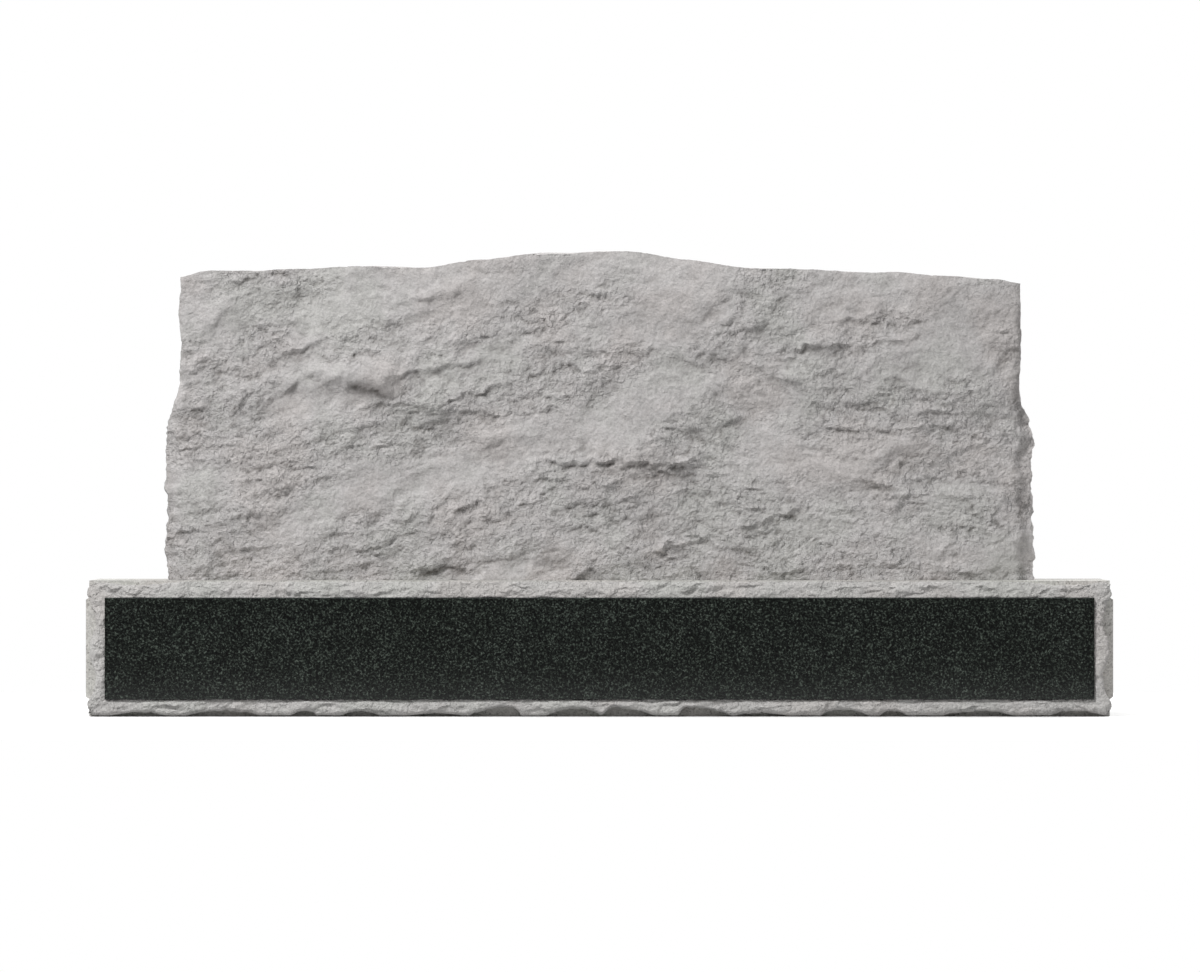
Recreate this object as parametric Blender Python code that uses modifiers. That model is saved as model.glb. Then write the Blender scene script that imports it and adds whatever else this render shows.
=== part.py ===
"""A grave marker: a rock-faced granite tablet on a long low base with a polished name panel.

The front of the marker looks towards -Y. The origin is in the middle of the underside of the base.
"""
import math

import bmesh
import bpy
import numpy as np

# Base: the straight sawn body, and the rock-pitched margin on its front.
BASE_WIDTH = 1.524
BASE_DEPTH = 0.356
BASE_HEIGHT = 0.201
PITCH_DEPTH = 0.020
LIP_RAKE = 0.0028
LIP_UNDERCUT = 0.002
LOWER_LIP_INSET = 0.0010
CORNER_LIP_INSET = 0.0025
CORNER_ROUND = 0.0030
CORNER_REACH = 0.0080
END_LIP_INSET = 0.0100
END_LIP_WAVE = 0.0050
SCALLOP_PITCH = 0.095
SCALLOP_PLACE = 0.050
UPPER_LIP_INSET = 0.0010
UPPER_DIP_DEPTH = 0.0050
UPPER_DIP_PLACE = 0.072
UPPER_DIP_REACH = 0.045
BACK_BULGE = 0.014
BACK_SLOPE = 0.045
BACK_WAVE_LENGTH = 0.080
KNOCKED_BAND = 0.0255
KNOCKED_DEPTH = 0.0050
KNOCKED_STEP = 0.0030

# Name panel: a slab let into the front of the base.
SIDE_MARGIN = 0.0295
EDGE_MARGIN = 0.0255
PANEL_THICKNESS = 0.020
PANEL_STAND = 0.005
PANEL_ARRIS = 0.0010
PANEL_JOINT = 0.0006

# Tablet: the upright stone.
TABLET_WIDTH = 1.248
TABLET_THICKNESS = 0.200
SHOULDER_HEIGHT = 0.451
SHOULDER_CAMBER = 0.018
SHOULDER_TILT = 0.010
HUMP_RISE = 0.021
HUMP_CENTRE = -0.011
HUMP_REACH = 0.245
CORNER_DROP = 0.006
CORNER_REACH = 0.038
FOOT_FLARE = 0.020
FLARE_START = 0.315
FLARE_DROP = 0.110
FLARE_FALL = 0.012
FLARE_ROUND = 0.006
TOP_WAVE = 0.0030
TOP_WAVE_LENGTH = 0.078
END_WAVE = 0.0050
END_WAVE_LENGTH = 0.060
END_BAND = 0.060
ARRIS_FALL = 0.0025
ARRIS_REACH = 0.0140

STONE_GAP = 0.0003
ROCK_CELL = 0.0215

# Waves of the rock face, from broad to short: length along and up the face, and how far each stands proud.
FACE_WAVES = ((0.330, 0.220, 0.0070), (0.165, 0.110, 0.0050), (0.084, 0.056, 0.0033))
WAVE_TILT = 0.15
WAVE_LEAN = 0.30
STRAY = 0.011
STRAY_LENGTH = 0.060
BACK_SHARE = 0.55

# Arches broken out of the lower lip, between lobes that reach the ground: where each starts, ends and
# peaks as shares of half the base's width, and how high it rises.
LOWER_ARCHES = (
    (-0.9550, -0.8426, -0.9000, 0.0050), (-0.8095, -0.6560, -0.7473, 0.0075),
    (-0.6055, -0.5510, -0.5783, 0.0060), (-0.5044, -0.4266, -0.4694, 0.0070),
    (-0.3780, -0.2565, -0.3178, 0.0040), (-0.2565, -0.1526, -0.1778, 0.0135),
    (-0.1059, 0.0049, -0.0437, 0.0112), (0.0049, 0.1098, 0.0301, 0.0120),
    (0.1526, 0.2585, 0.1759, 0.0130), (0.2585, 0.3741, 0.3178, 0.0045),
    (0.4286, 0.5258, 0.4772, 0.0095), (0.5452, 0.6035, 0.5705, 0.0075),
    (0.6618, 0.8134, 0.7396, 0.0060), (0.8717, 0.9850, 0.9436, 0.0068),
)

# Main ledges of the front: place as shares of half the width and of the shoulders' height, length,
# rise per metre to the right, and how far each stands proud.
LEDGES = (
    (-0.734, 0.748, 0.123, 0.37, 0.0030), (-0.353, 0.706, 0.197, 0.16, 0.0030),
    (-0.066, 0.385, 0.148, 0.06, 0.0036), (0.109, 0.379, 0.173, -0.04, 0.0052),
    (0.208, 0.389, 0.080, 0.35, 0.0036), (0.530, 0.771, 0.136, 0.09, 0.0030),
    (0.762, 0.552, 0.101, 0.06, 0.0032), (0.900, 0.442, 0.093, 0.33, 0.0030),
    (0.419, 0.208, 0.123, 0.32, 0.0040), (0.192, 0.110, 0.080, 0.26, 0.0038),
    (-0.764, 0.615, 0.096, 0.62, 0.0050), (-0.603, 0.648, 0.154, -0.14, 0.0052),
    (-0.452, 0.590, 0.105, -0.44, 0.0036), (0.407, 0.683, 0.117, -0.36, 0.0050),
    (-0.921, 0.849, 0.068, 0.82, 0.0035),
)
LEDGE_REACH = 0.060
LEDGE_HOLLOW = 0.15

# Slopes of the front, wider than its ledges, in the same terms.
SLOPES = (
    (-0.770, 0.639, 0.167, 0.34, 0.0090), (-0.595, 0.672, 0.154, -0.13, 0.0090),
    (-0.428, 0.601, 0.142, -0.38, 0.0070), (0.020, 0.300, 0.300, -0.06, 0.0040),
    (-0.200, 0.060, 0.420, 0.04, 0.0030),
)
SLOPE_REACH = 0.150
SLOPE_EDGE = 0.015

# Broad swells of the front, in the same terms.
SWELLS = ((0.700, 0.850, 0.700, 0.03, 0.0190), (-0.838, 0.469, 0.284, 0.09, -0.0050))
SWELL_REACH = 2.0
SWELL_EDGE = 0.060

# Worked out from the sizes above.
FRONT = -BASE_DEPTH / 2
MARGIN_FACE = FRONT + PANEL_STAND
FRONT_ARRIS = MARGIN_FACE + PITCH_DEPTH
BACK_ARRIS = BASE_DEPTH / 2 - BACK_BULGE
PANEL_WIDTH = BASE_WIDTH - 2 * SIDE_MARGIN
PANEL_HEIGHT = BASE_HEIGHT - 2 * EDGE_MARGIN
TABLET_FOOT = BASE_HEIGHT + STONE_GAP
WING_START = TABLET_WIDTH / 2 + FOOT_FLARE + END_WAVE


def ease(share):
    """A smooth rise from 0 to 1 as the share goes from 0 to 1."""
    share = np.clip(share, 0.0, 1.0)
    return share * share * (3 - 2 * share)


def ripple(across, up, seed):
    """Smooth random waves, about -1 to 1: a random slope at each lattice corner, blended between."""
    column = np.floor(across).astype(np.int64)
    row = np.floor(up).astype(np.int64)
    right = across - column
    rise = up - row

    def slope(step_right, step_up):
        mixed = ((column + step_right) * 374761393 + (row + step_up) * 668265263 + seed * 974711)
        mixed = mixed & 0xFFFFFFFF
        mixed = ((mixed ^ (mixed >> 13)) * 1274126177) & 0xFFFFFFFF
        angle = (mixed ^ (mixed >> 16)) % 4096 * (math.tau / 4096)
        return np.cos(angle) * (right - step_right) + np.sin(angle) * (rise - step_up)

    blend_right = right ** 3 * (right * (right * 6 - 15) + 10)
    blend_up = rise ** 3 * (rise * (rise * 6 - 15) + 10)
    low = slope(0, 0) + blend_right * (slope(1, 0) - slope(0, 0))
    high = slope(0, 1) + blend_right * (slope(1, 1) - slope(0, 1))
    return 1.5 * (low + blend_up * (high - low))


def top_line(x):
    """Height of the tablet's top above its foot: cambered, tilted shoulders and one low hump."""
    share = x / (TABLET_WIDTH / 2)
    shoulders = SHOULDER_HEIGHT + SHOULDER_CAMBER * (1 - share ** 2) - SHOULDER_TILT / 2 * share
    from_hump = np.clip(np.abs(x - HUMP_CENTRE) / HUMP_REACH, 0, 1)
    hump = HUMP_RISE * np.cos(from_hump * math.pi / 2) ** 1.6
    corner = CORNER_DROP * ease(1 - (TABLET_WIDTH / 2 - np.abs(x)) / CORNER_REACH)
    return shoulders + hump - corner + TOP_WAVE * ripple(x / TOP_WAVE_LENGTH, x * 0, 537)


def half_width(z):
    """Half the tablet's width at a height above its foot: the lower part flares out."""
    return TABLET_WIDTH / 2 + FOOT_FLARE * ease((FLARE_START - z) / FLARE_DROP)


def ledge_relief(x, z, rows, edge, reach, hollow):
    """Ledges: each swells out above its line over reach, and drops back below it within edge."""
    out = np.zeros_like(x)
    for place, level, length, rise, stand in rows:
        along = (x - place * TABLET_WIDTH / 2) / (length / 2)
        over = z - level * SHOULDER_HEIGHT - rise * along * length / 2
        step = (1 + np.tanh(over / edge)) / 2
        swell = step * (1 - np.clip(over / reach, 0, 1)) ** 2
        below = (1 - step) * np.exp(np.minimum(over, 0) / (reach / 3))
        out += stand * ease(1.2 - along ** 2) * (swell - hollow * below)
    return out


def rock_waves(x, z, seed):
    """Waves of every length in FACE_WAVES, one on another, each leaning so that its lower side is steep."""
    stray_x = x + STRAY * ripple(x / STRAY_LENGTH, z / STRAY_LENGTH, seed + 21)
    stray_z = z + STRAY * ripple(x / STRAY_LENGTH, z / STRAY_LENGTH, seed + 22)
    out = np.zeros_like(x)
    for number, (length, height, stand) in enumerate(FACE_WAVES):
        along = stray_x / length
        up = (stray_z - WAVE_TILT * stray_x) / height
        lean = WAVE_LEAN * ripple(along, up, seed + number)
        out += stand * ripple(along, up + lean, seed + number)
    return out


def edge_fall(x, z):
    """How far a face falls back towards the ends and the top, and most on the flare."""
    to_edge = np.minimum(half_width(z) - np.abs(x), top_line(x) - z)
    fall = ARRIS_FALL * (1 - ease(to_edge / ARRIS_REACH)) ** 2
    return fall + FLARE_FALL * ease((np.abs(x) - TABLET_WIDTH / 2 + FLARE_ROUND) / FOOT_FLARE)


def tablet_point(across, deep, high):
    """The place in the rough stone of a point in a plain block (-1 to 1, -1 to 1 and 0 to 1)."""
    x = across * half_width(high * SHOULDER_HEIGHT)
    z = high * top_line(across * TABLET_WIDTH / 2)
    y = deep * TABLET_THICKNESS / 2
    side = np.sign(across)
    near_end = ease(1 - (1 - np.abs(across)) * TABLET_WIDTH / 2 / END_BAND)
    end_wave = ripple(y / END_WAVE_LENGTH / 2 + 40 * side, z / END_WAVE_LENGTH, 90)
    x = x + side * near_end * END_WAVE * end_wave
    z = z + high ** 12 * TOP_WAVE * ripple(x / TOP_WAVE_LENGTH, y / TOP_WAVE_LENGTH, 31)
    fall = edge_fall(across * half_width(z), high * top_line(across * TABLET_WIDTH / 2))
    ledges = ledge_relief(x, z, LEDGES, ROCK_CELL / 3, LEDGE_REACH, LEDGE_HOLLOW)
    slopes = ledge_relief(x, z, SLOPES, SLOPE_EDGE, SLOPE_REACH, 0.0)
    swells = ledge_relief(x, z, SWELLS, SWELL_EDGE, SWELL_REACH, 0.0)
    front = -TABLET_THICKNESS / 2 - rock_waves(x, z, 5) - ledges - slopes - swells + fall
    back = TABLET_THICKNESS / 2 + BACK_SHARE * rock_waves(x, z, 90) - fall
    return x, front + (deep + 1) / 2 * (back - front), z + TABLET_FOOT


def even_cuts(length):
    """Places that cut a length, centred on 0, into even cells."""
    cells = max(2, round(length / ROCK_CELL))
    return [(cut / cells - 0.5) * length for cut in range(1, cells)]


def arch_cuts():
    """Places along the base that cut each arch of the lower lip into four."""
    places = set()
    for start, end, peak, _ in LOWER_ARCHES:
        places.update((start, (start + peak) / 2, peak, (peak + end) / 2, end))
    return [place * BASE_WIDTH / 2 for place in sorted(places)]


def cut_cube(size, cuts):
    """A cube primitive scaled to size round its centre, cut by planes at the places given for each axis."""
    block = bmesh.new()
    bmesh.ops.create_cube(block, size=1.0)
    bmesh.ops.scale(block, vec=size, verts=block.verts)
    for axis, places in enumerate(cuts):
        for place in places:
            where = [0.0, 0.0, 0.0]
            where[axis] = place
            along = [0.0, 0.0, 0.0]
            along[axis] = 1.0
            bmesh.ops.bisect_plane(
                block, geom=block.verts[:] + block.edges[:] + block.faces[:], dist=1e-6,
                plane_co=where, plane_no=along)
    return block


def merge_faces(block, chosen):
    """Dissolves the faces that chosen picks into one flat face, and returns it."""
    faces = [face for face in block.faces if chosen(face.calc_center_median(), face.normal)]
    return bmesh.ops.dissolve_faces(block, faces=faces, use_verts=False)["region"][0]


def finished(block, name, material, collection):
    """Puts a bmesh into a named object with its material."""
    bmesh.ops.recalc_face_normals(block, faces=block.faces)
    mesh = bpy.data.meshes.new(name)
    block.to_mesh(mesh)
    block.free()
    piece = bpy.data.objects.new(name, mesh)
    piece.data.materials.append(material)
    collection.objects.link(piece)
    return piece


def make_tablet(material, collection):
    """The upright stone: a block cut into cells, its corners pushed to the rough form."""
    lengths = (TABLET_WIDTH + 2 * FOOT_FLARE, TABLET_THICKNESS, SHOULDER_HEIGHT)
    block = cut_cube(lengths, [even_cuts(length) for length in lengths])
    merge_faces(block, lambda centre, normal: normal.z < -0.9)
    plain = np.array([vert.co for vert in block.verts]) / lengths
    rough = np.stack(tablet_point(plain[:, 0] * 2, plain[:, 1] * 2, plain[:, 2] + 0.5), axis=1)
    for vert, place in zip(block.verts, rough):
        vert.co = place
    return finished(block, "tablet", material, collection)


def lip_inset(x, z):
    """How far the margin's wavy lip stays inside the straight outline, for points on that outline."""
    share = x / (BASE_WIDTH / 2)
    lower = np.full_like(x, LOWER_LIP_INSET)
    for start, end, peak, rise in LOWER_ARCHES:
        from_peak = np.where(share < peak, (peak - share) / (peak - start), (share - peak) / (end - peak))
        lower = np.maximum(lower, rise * (1 - from_peak ** 2))
    scallops = np.cos((z + BASE_HEIGHT / 2 - SCALLOP_PLACE) * math.tau / SCALLOP_PITCH)
    near_corner = ease((np.abs(z) - BASE_HEIGHT / 2 + KNOCKED_BAND) / CORNER_REACH)
    ends = END_LIP_INSET + END_LIP_WAVE * scallops
    ends = ends + (CORNER_LIP_INSET - ends) * near_corner
    from_dip = BASE_WIDTH / 2 - np.abs(x) - UPPER_DIP_PLACE
    upper = UPPER_LIP_INSET + UPPER_DIP_DEPTH * np.exp(-(from_dip / UPPER_DIP_REACH) ** 2)
    level = z / (BASE_HEIGHT / 2)
    inset = np.where(level < -0.999, lower, np.where(level > 0.999, upper, ends))
    from_corner = BASE_WIDTH / 2 - np.abs(x) + BASE_HEIGHT / 2 - np.abs(z)
    blunt = CORNER_ROUND * np.exp(-(from_corner / CORNER_REACH) ** 2)
    return np.maximum(inset + blunt, STONE_GAP * 2)


def inward(x, z, inset):
    """Moves points on the straight outline in towards the middle of the front by their inset."""
    share_x = x / (BASE_WIDTH / 2)
    share_z = z / (BASE_HEIGHT / 2)
    return share_x * (BASE_WIDTH / 2 - inset), share_z * (BASE_HEIGHT / 2 - inset)


def add_ring(block, face, x, y, z):
    """Extrudes the face once and moves the corners of the new one to the places given."""
    face = bmesh.ops.extrude_discrete_faces(block, faces=[face])["faces"][0]
    for vert, place in zip(face.verts, np.stack(np.broadcast_arrays(x, y, z), axis=1)):
        vert.co = place
    return face


def knock_ends(block):
    """Sets the upper and lower bands of the sawn ends back a little, as if struck off."""
    for vert in block.verts:
        at_end = abs(vert.co.x) > BASE_WIDTH / 2 - STONE_GAP
        if at_end and BASE_HEIGHT / 2 - abs(vert.co.z) < KNOCKED_BAND + STONE_GAP:
            vert.co.x -= math.copysign(KNOCKED_DEPTH, vert.co.x)


def pitch_back(block):
    """Swells the back out from its edges into a plain rock face."""
    back = [vert for vert in block.verts if vert.co.y > BACK_ARRIS - STONE_GAP]
    x, z = np.array([(vert.co.x, vert.co.z) for vert in back]).T
    to_edge = np.minimum(BASE_HEIGHT / 2 - np.abs(z), BASE_WIDTH / 2 - np.abs(x))
    swell = 0.8 + 0.2 * ripple(x / BACK_WAVE_LENGTH, z / BACK_WAVE_LENGTH, 61)
    bulge = BACK_BULGE * np.minimum(swell, 1) * ease(to_edge / BACK_SLOPE)
    for vert, out in zip(back, bulge):
        vert.co.y += out


def make_base(material, collection):
    """The low stone: a sawn body, a pitched back and a pitched margin round a pocket in the front."""
    flat = BASE_HEIGHT / 2 - KNOCKED_BAND - KNOCKED_STEP
    upright = [-flat - KNOCKED_STEP, -flat, *even_cuts(2 * flat), flat, flat + KNOCKED_STEP]
    size = (BASE_WIDTH, BACK_ARRIS - FRONT_ARRIS, BASE_HEIGHT)
    block = cut_cube(size, ([-WING_START, *arch_cuts(), WING_START], (), upright))
    bmesh.ops.translate(block, vec=(0, (BACK_ARRIS + FRONT_ARRIS) / 2, 0), verts=block.verts)
    front = merge_faces(block, lambda centre, normal: normal.y < -0.9)
    merge_faces(block, lambda centre, normal: normal.z < -0.9)
    for side in (-1, 1):
        merge_faces(block, lambda centre, normal: normal.x * side > 0.9 and abs(centre.z) < flat)
        merge_faces(block, lambda centre, normal: normal.z > 0.9 and centre.x * side > WING_START)
    merge_faces(block, lambda centre, normal: normal.z > 0.9 and abs(centre.x) < WING_START)
    outline = np.array([vert.co for vert in front.verts])
    x, z = outline[:, 0], outline[:, 2]
    inset = lip_inset(x, z)
    root_x, root_z = inward(x, z, inset + LIP_UNDERCUT)
    lip_x, lip_z = inward(x, z, inset)
    seat_x = x * (PANEL_WIDTH / 2 + PANEL_JOINT) / (BASE_WIDTH / 2)
    seat_z = z * (PANEL_HEIGHT / 2 + PANEL_JOINT) / (BASE_HEIGHT / 2)
    front = add_ring(block, front, root_x, FRONT_ARRIS, root_z)
    front = add_ring(block, front, lip_x, MARGIN_FACE + LIP_RAKE, lip_z)
    front = add_ring(block, front, seat_x, MARGIN_FACE, seat_z)
    add_ring(block, front, seat_x, FRONT + PANEL_THICKNESS + STONE_GAP, seat_z)
    knock_ends(block)
    pitch_back(block)
    bmesh.ops.translate(block, vec=(0, 0, BASE_HEIGHT / 2), verts=block.verts)
    return finished(block, "base", material, collection)


def make_panel(material, collection):
    """The polished slab, with a fine bevel on its edges."""
    slab = cut_cube((PANEL_WIDTH, PANEL_THICKNESS, PANEL_HEIGHT), ())
    middle = (0, FRONT + PANEL_THICKNESS / 2, BASE_HEIGHT / 2)
    bmesh.ops.translate(slab, vec=middle, verts=slab.verts)
    panel = finished(slab, "name_panel", material, collection)
    arris = panel.modifiers.new("arris", "BEVEL")
    arris.width = PANEL_ARRIS
    arris.segments = 1
    return panel


def stone_material(name, colour, roughness):
    """A plain stone surface."""
    material = bpy.data.materials.new(name)
    material.use_nodes = True
    shader = material.node_tree.nodes["Principled BSDF"]
    shader.inputs["Base Color"].default_value = colour
    shader.inputs["Roughness"].default_value = roughness
    shader.inputs["Metallic"].default_value = 0.0
    return material


def main():
    """Clears the scene and builds the three stones."""
    for old in list(bpy.data.objects):
        bpy.data.objects.remove(old, do_unlink=True)
    marker = bpy.data.collections.new("grave_marker")
    bpy.context.scene.collection.children.link(marker)
    grey = stone_material("rock_faced_grey_granite", (0.386, 0.371, 0.366, 1.0), 0.85)
    black = stone_material("polished_black_granite", (0.019, 0.022, 0.019, 1.0), 0.12)
    make_tablet(grey, marker)
    make_base(grey, marker)
    make_panel(black, marker)


main()
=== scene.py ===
"""Looks for a rock-faced granite grave marker: broken stone, sawn stone and a polished panel."""
import logging
import math
from dataclasses import dataclass
from enum import Enum, IntEnum

import bpy
import numpy as np
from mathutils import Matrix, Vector


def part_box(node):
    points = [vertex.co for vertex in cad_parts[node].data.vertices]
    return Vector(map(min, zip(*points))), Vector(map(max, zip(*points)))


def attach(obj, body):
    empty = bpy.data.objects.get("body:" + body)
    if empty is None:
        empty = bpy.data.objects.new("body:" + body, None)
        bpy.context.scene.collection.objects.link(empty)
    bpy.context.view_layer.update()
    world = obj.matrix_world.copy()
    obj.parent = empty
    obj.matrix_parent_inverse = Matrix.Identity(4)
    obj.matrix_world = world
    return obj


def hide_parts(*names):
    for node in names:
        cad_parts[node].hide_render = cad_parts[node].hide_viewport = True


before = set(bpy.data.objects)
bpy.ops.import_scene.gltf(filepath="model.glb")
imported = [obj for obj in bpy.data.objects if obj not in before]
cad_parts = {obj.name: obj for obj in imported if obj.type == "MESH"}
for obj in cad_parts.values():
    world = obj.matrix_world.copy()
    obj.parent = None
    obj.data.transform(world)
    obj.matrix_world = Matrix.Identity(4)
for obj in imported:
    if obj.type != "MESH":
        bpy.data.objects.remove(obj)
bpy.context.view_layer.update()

log = logging.getLogger("grave_marker")

Array = np.ndarray
# Length of one band of the wave texture where its scale is 1.
WAVE_BAND = 0.314


class Surface(Enum):
    """The finishes of the base, by their place in its material slots."""

    ROCK = 0
    SAWN = 1


class Pattern(IntEnum):
    """The random pattern that each broken surface takes, so that neighbours differ."""

    FRONT = 5
    TOP_LUMPS = 31
    MARGIN = 60
    BASE_BACK_SWELL = 61
    LIP_UNDERSIDE = 70
    LEDGE_LINE = 77
    LEDGE_THICKNESS = 78
    BASE_BACK = 80
    BACK = 90
    END_WAVES = BACK
    TEETH = 95
    SMALL_TEETH = 96
    FLARE = 97
    ENDS = 200
    TOP = 300
    LIP = 400
    BASE_ENDS = 500
    TOP_LINE = 537


def ease(share: Array) -> Array:
    """A smooth rise from 0 to 1 as the share goes from 0 to 1: 3 share squared less 2 share cubed.

    Args:
        share: any numbers, held between 0 and 1.

    Returns:
        The eased share.
    """
    share = np.clip(share, 0.0, 1.0)
    return share * share * (3 - 2 * share)


def ripple(across: Array, up: Array, seed: int) -> Array:
    """Smooth random waves: each lattice corner has a random slope, and a cell blends its four.

    Args:
        across: place along the first axis, in lattice cells.
        up: place along the second axis, in lattice cells.
        seed: which pattern of slopes.

    Returns:
        Heights of about -1 to 1.
    """
    column = np.floor(across).astype(np.int64)
    row = np.floor(up).astype(np.int64)
    right = across - column
    rise = up - row

    def slope(step_right: int, step_up: int) -> Array:
        """The plane through one corner of the cell, tilted by that corner's own random slope.

        Args:
            step_right: 0 for the cell's left corners, 1 for its right ones.
            step_up: 0 for its lower corners, 1 for its upper ones.

        Returns:
            The plane's height at each point. The whole numbers only scramble the corner's place.
        """
        mixed = ((column + step_right) * 374761393 + (row + step_up) * 668265263 + seed * 974711)
        mixed = mixed & 0xFFFFFFFF
        mixed = ((mixed ^ (mixed >> 13)) * 1274126177) & 0xFFFFFFFF
        angle = (mixed ^ (mixed >> 16)) % 4096 * (math.tau / 4096)
        return np.cos(angle) * (right - step_right) + np.sin(angle) * (rise - step_up)

    blend_right = right ** 3 * (right * (right * 6 - 15) + 10)
    blend_up = rise ** 3 * (rise * (rise * 6 - 15) + 10)
    low = slope(0, 0) + blend_right * (slope(1, 0) - slope(0, 0))
    high = slope(0, 1) + blend_right * (slope(1, 1) - slope(0, 1))
    return 1.5 * (low + blend_up * (high - low))


def nearer(first: Array, second: Array, soft: float) -> Array:
    """The lesser of two distances, rounded off where they are alike.

    Args:
        first: one distance.
        second: the other.
        soft: how much rounding, as a distance.

    Returns:
        Minus soft times the logarithm of the sum of both exponentials of minus distance over soft.
    """
    return -soft * np.logaddexp(-first / soft, -second / soft)


@dataclass(frozen=True)
class Wave:
    """One size of broken lump: length along and height up the face, and how far it stands, in metres."""

    length: float
    height: float
    stand: float


@dataclass(frozen=True)
class RockFace:
    """A granite face broken by the pitching tool: lumps of every size, steep on their lower sides.

    Every kind of wave adds a number of its own to the surface's pattern. The places x and z run along
    the face and up it.
    """

    pattern: Pattern
    broad: tuple[Wave, ...] = (
        Wave(0.330, 0.220, 0.0070), Wave(0.165, 0.110, 0.0050), Wave(0.084, 0.056, 0.0033),
    )
    fine: tuple[Wave, ...] = (
        Wave(0.0480, 0.0290, 0.0020), Wave(0.0260, 0.0155, 0.0015), Wave(0.0130, 0.0085, 0.0010),
        Wave(0.0075, 0.0060, 0.0008),
    )
    flakes: tuple[Wave, ...] = (
        Wave(0.110, 0.040, 0.0032), Wave(0.052, 0.020, 0.0025), Wave(0.026, 0.0105, 0.0018),
    )
    flake_edge: float = 0.0022
    flake_wander: float = 0.7
    flake_tilt: float = 0.06
    flake_octave: float = 0.45
    flake_reach: float = 1.6
    flake_usual: float = 0.45
    flake_varies: float = 0.9
    flake_middle: float = 0.35
    row_shift: float = 7.3
    row_change: float = 0.37
    tilt: float = 0.15
    lean: float = 0.30
    fine_lean: float = 0.36
    stray: float = 0.011
    stray_length: float = 0.060
    fine_stray: float = 0.0045
    fine_stray_length: float = 0.023
    octave_size: float = 2.2
    octave_stray: float = 1.8
    calm_length: float = 0.20
    calm_height: float = 0.09
    calm_share: float = 0.36
    calm_from: float = -0.50
    calm_fade: float = 0.8
    small_patch: float = 0.3
    small_patch_along: float = 3.0
    small_patch_up: float = 2.5
    foot_rough: float = 1.3
    foot_level: float = 0.22

    def strayed(self, x: Array, z: Array) -> tuple[Array, Array]:
        """Points moved about by slow waves, so that no lump is regular.

        Args:
            x: place along the face.
            z: place up the face.

        Returns:
            The two places, moved.
        """
        stray_x = x + self.stray * ripple(x / self.stray_length, z / self.stray_length, self.pattern + 21)
        stray_z = z + self.stray * ripple(x / self.stray_length, z / self.stray_length, self.pattern + 22)
        return stray_x, stray_z

    def waves(self, x: Array, z: Array, sizes: tuple[Wave, ...], lean: float, first: int) -> Array:
        """Lumps of the sizes given, one on another.

        Each lump is a smooth random wave that is read a little higher up where it stands proud, so
        that its lower side turns steep.

        Args:
            x: place along the face, already strayed.
            z: place up the face, already strayed.
            sizes: the lumps' sizes.
            lean: how far up a lump is read, as a share of its height.
            first: what the first size adds to the pattern.

        Returns:
            How far each point stands out.
        """
        out = np.zeros_like(x)
        for number, wave in enumerate(sizes):
            along = x / wave.length
            up = (z - self.tilt * x) / wave.height
            own = self.pattern + first + number
            out += wave.stand * ripple(along, up + lean * ripple(along, up, own), own)
        return out

    def coarse_stand(self, x: Array, z: Array) -> Array:
        """The broad form, as the solid has it."""
        stray_x, stray_z = self.strayed(x, z)
        return self.waves(stray_x, stray_z, self.broad, self.lean, 0)

    def roughness(self, x: Array, z: Array) -> Array:
        """How broken each place is: calm patches of a hand's breadth among rough ones, more rough low down.

        Args:
            x: place along the face.
            z: place up the face.

        Returns:
            A share from calm_share to 1.
        """
        patch = ripple(x / self.calm_length, (z - 2 * self.tilt * x) / self.calm_height, self.pattern + 40)
        along, up = x / self.calm_length * self.small_patch_along, z / self.calm_height * self.small_patch_up
        patch = patch + self.small_patch * ripple(along, up, self.pattern + 41)
        patch = patch + self.foot_rough * (self.foot_level - z)
        return self.calm_share + (1 - self.calm_share) * ease((patch - self.calm_from) / self.calm_fade)

    def jagged(self, x: Array, z: Array) -> tuple[Array, Array]:
        """Points moved about by three sizes of wave, a finger's breadth and less, where ledges are read.

        Args:
            x: place along the face.
            z: place up the face.

        Returns:
            The two places, moved.
        """
        stray_x, stray_z = x, z
        for octave in range(3):
            across, up = (place / self.fine_stray_length * self.octave_size ** octave for place in (x, z))
            stray, own = self.fine_stray / self.octave_stray ** octave, self.pattern + 23 + octave
            stray_x = stray_x + stray * ripple(across, up, own)
            stray_z = stray_z + stray * ripple(across, up, own + 10)
        return stray_x, stray_z

    def flake_stand(self, x: Array, z: Array) -> Array:
        """Flakes split off one above another, each thick at its lower edge and thinning upwards.

        A phase counts the rows of flakes going up, and slow waves make its rows wander. Within a row
        the stand jumps out at the lower edge and then falls evenly to nothing. How thick a flake is
        varies along each row on its own.

        Args:
            x: place along the face, already strayed.
            z: place up the face, already strayed.

        Returns:
            How far each point stands out.
        """
        out = np.zeros_like(x)
        for number, flake in enumerate(self.flakes):
            own = self.pattern + 50 + 10 * number
            phase = (z - self.flake_tilt * x) / flake.height
            for octave, share in enumerate((1.0, 0.5, 0.25)):
                size = self.flake_octave ** octave
                along, up = x / (flake.length * size), z / (self.flake_reach * flake.height * size)
                wander = ripple(along, up, own + octave)
                phase = phase + self.flake_wander * share * wander
            row = np.floor(phase)
            within = phase - row
            varied = ripple(x / flake.length + self.row_shift * row, row * self.row_change, own + 5)
            thick = ease(self.flake_usual + self.flake_varies * varied)
            rise = ease(within * flake.height / self.flake_edge)
            out += flake.stand * thick * (rise * (1 - within) - self.flake_middle)
        return out

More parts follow.
